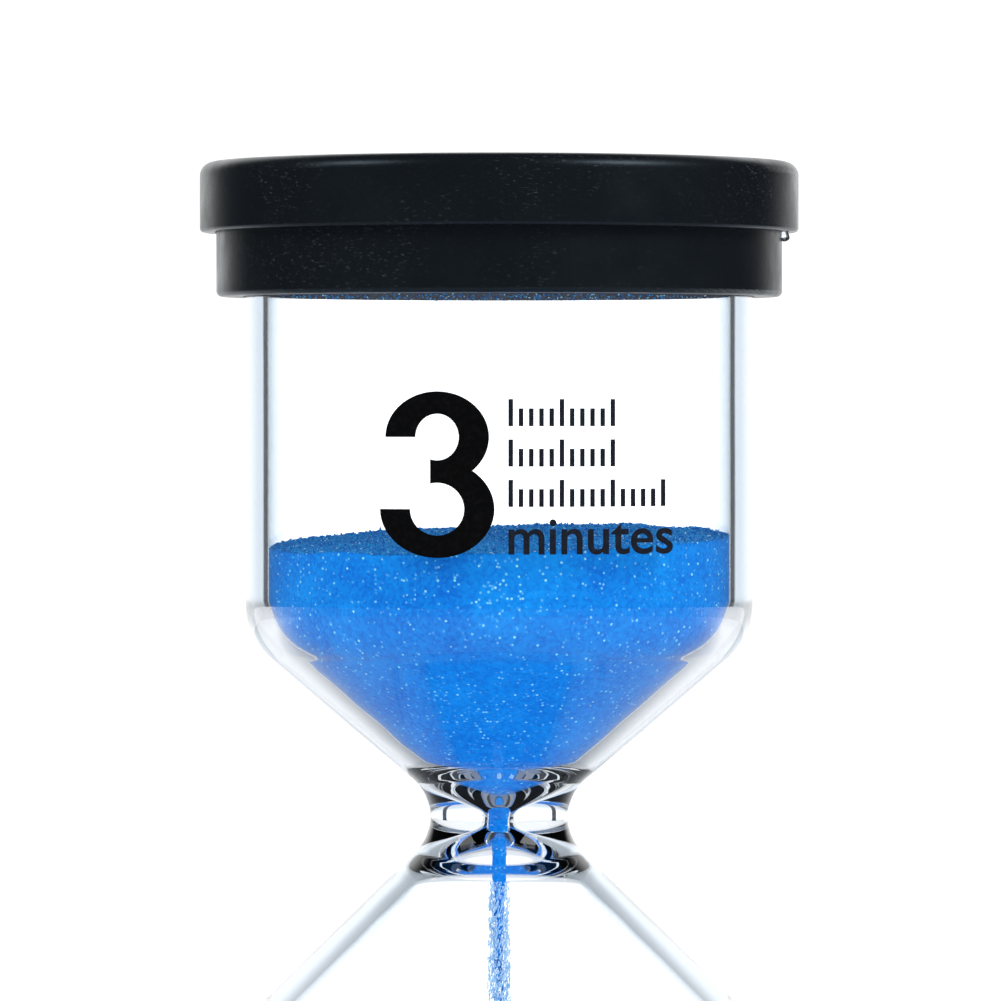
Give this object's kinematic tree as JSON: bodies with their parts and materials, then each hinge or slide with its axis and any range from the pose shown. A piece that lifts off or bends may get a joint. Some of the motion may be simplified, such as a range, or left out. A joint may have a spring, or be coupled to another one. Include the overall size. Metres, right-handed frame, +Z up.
{
  "type": "hourglass",
  "caption": "Small sand timer: a pinched glass double bulb of blue sand held between stepped black caps, with a printed front.",
  "frame": {"origin": "centre of the lower lid's face, which the timer stands on", "axes": "+Z up the timer's axis, -Y towards the printed front"},
  "size_m": [0.04, 0.04, 0.0875],
  "materials": {
    "clear_glass": "polished, clear with a faint blue tint",
    "black_lid": "satin, finely scuffed",
    "black_collar": "satin, finely scuffed",
    "black_stopper": "matte, dusted with sand",
    "blue_sand": "dyed grains with glitter",
    "black_ink": "smooth printed ink",
    "grey_ink": "smooth printed ink"
  },
  "bodies": {
    "timer": {"glass_body": "clear_glass", "upper_lid": "black_lid", "lower_lid": "black_lid", "upper_collar": "black_collar", "lower_collar": "black_collar", "upper_stopper": "black_stopper", "lower_stopper": "black_stopper", "upper_sand_funnel": "blue_sand", "upper_sand_column": "blue_sand", "lower_sand_column": "blue_sand", "sand_stream": "blue_sand", "printed_numeral": "black_ink", "printed_unit": "grey_ink", "printed_scale": "grey_ink"},
    "upper_sand": {"upper_sand_surface": "blue_sand"},
    "lower_sand": {"lower_sand_heap": "blue_sand"}
  },
  "joints": [
    {"name": "sand_level", "type": "slide", "parent": "timer", "child": "upper_sand", "axis": [0, 0, -1], "range_m": [-0.0017, 0.00185], "deforming": ["upper_sand_column"]},
    {"name": "sand_heap_level", "type": "slide", "parent": "timer", "child": "lower_sand", "axis": [0, 0, 1], "range_m": [-0.0017, 0.00185], "deforming": ["lower_sand_column", "sand_stream"]}
  ],
  "couplings": [
    {"joint": "sand_heap_level", "follows": "sand_level", "ratio": 1}
  ]
}
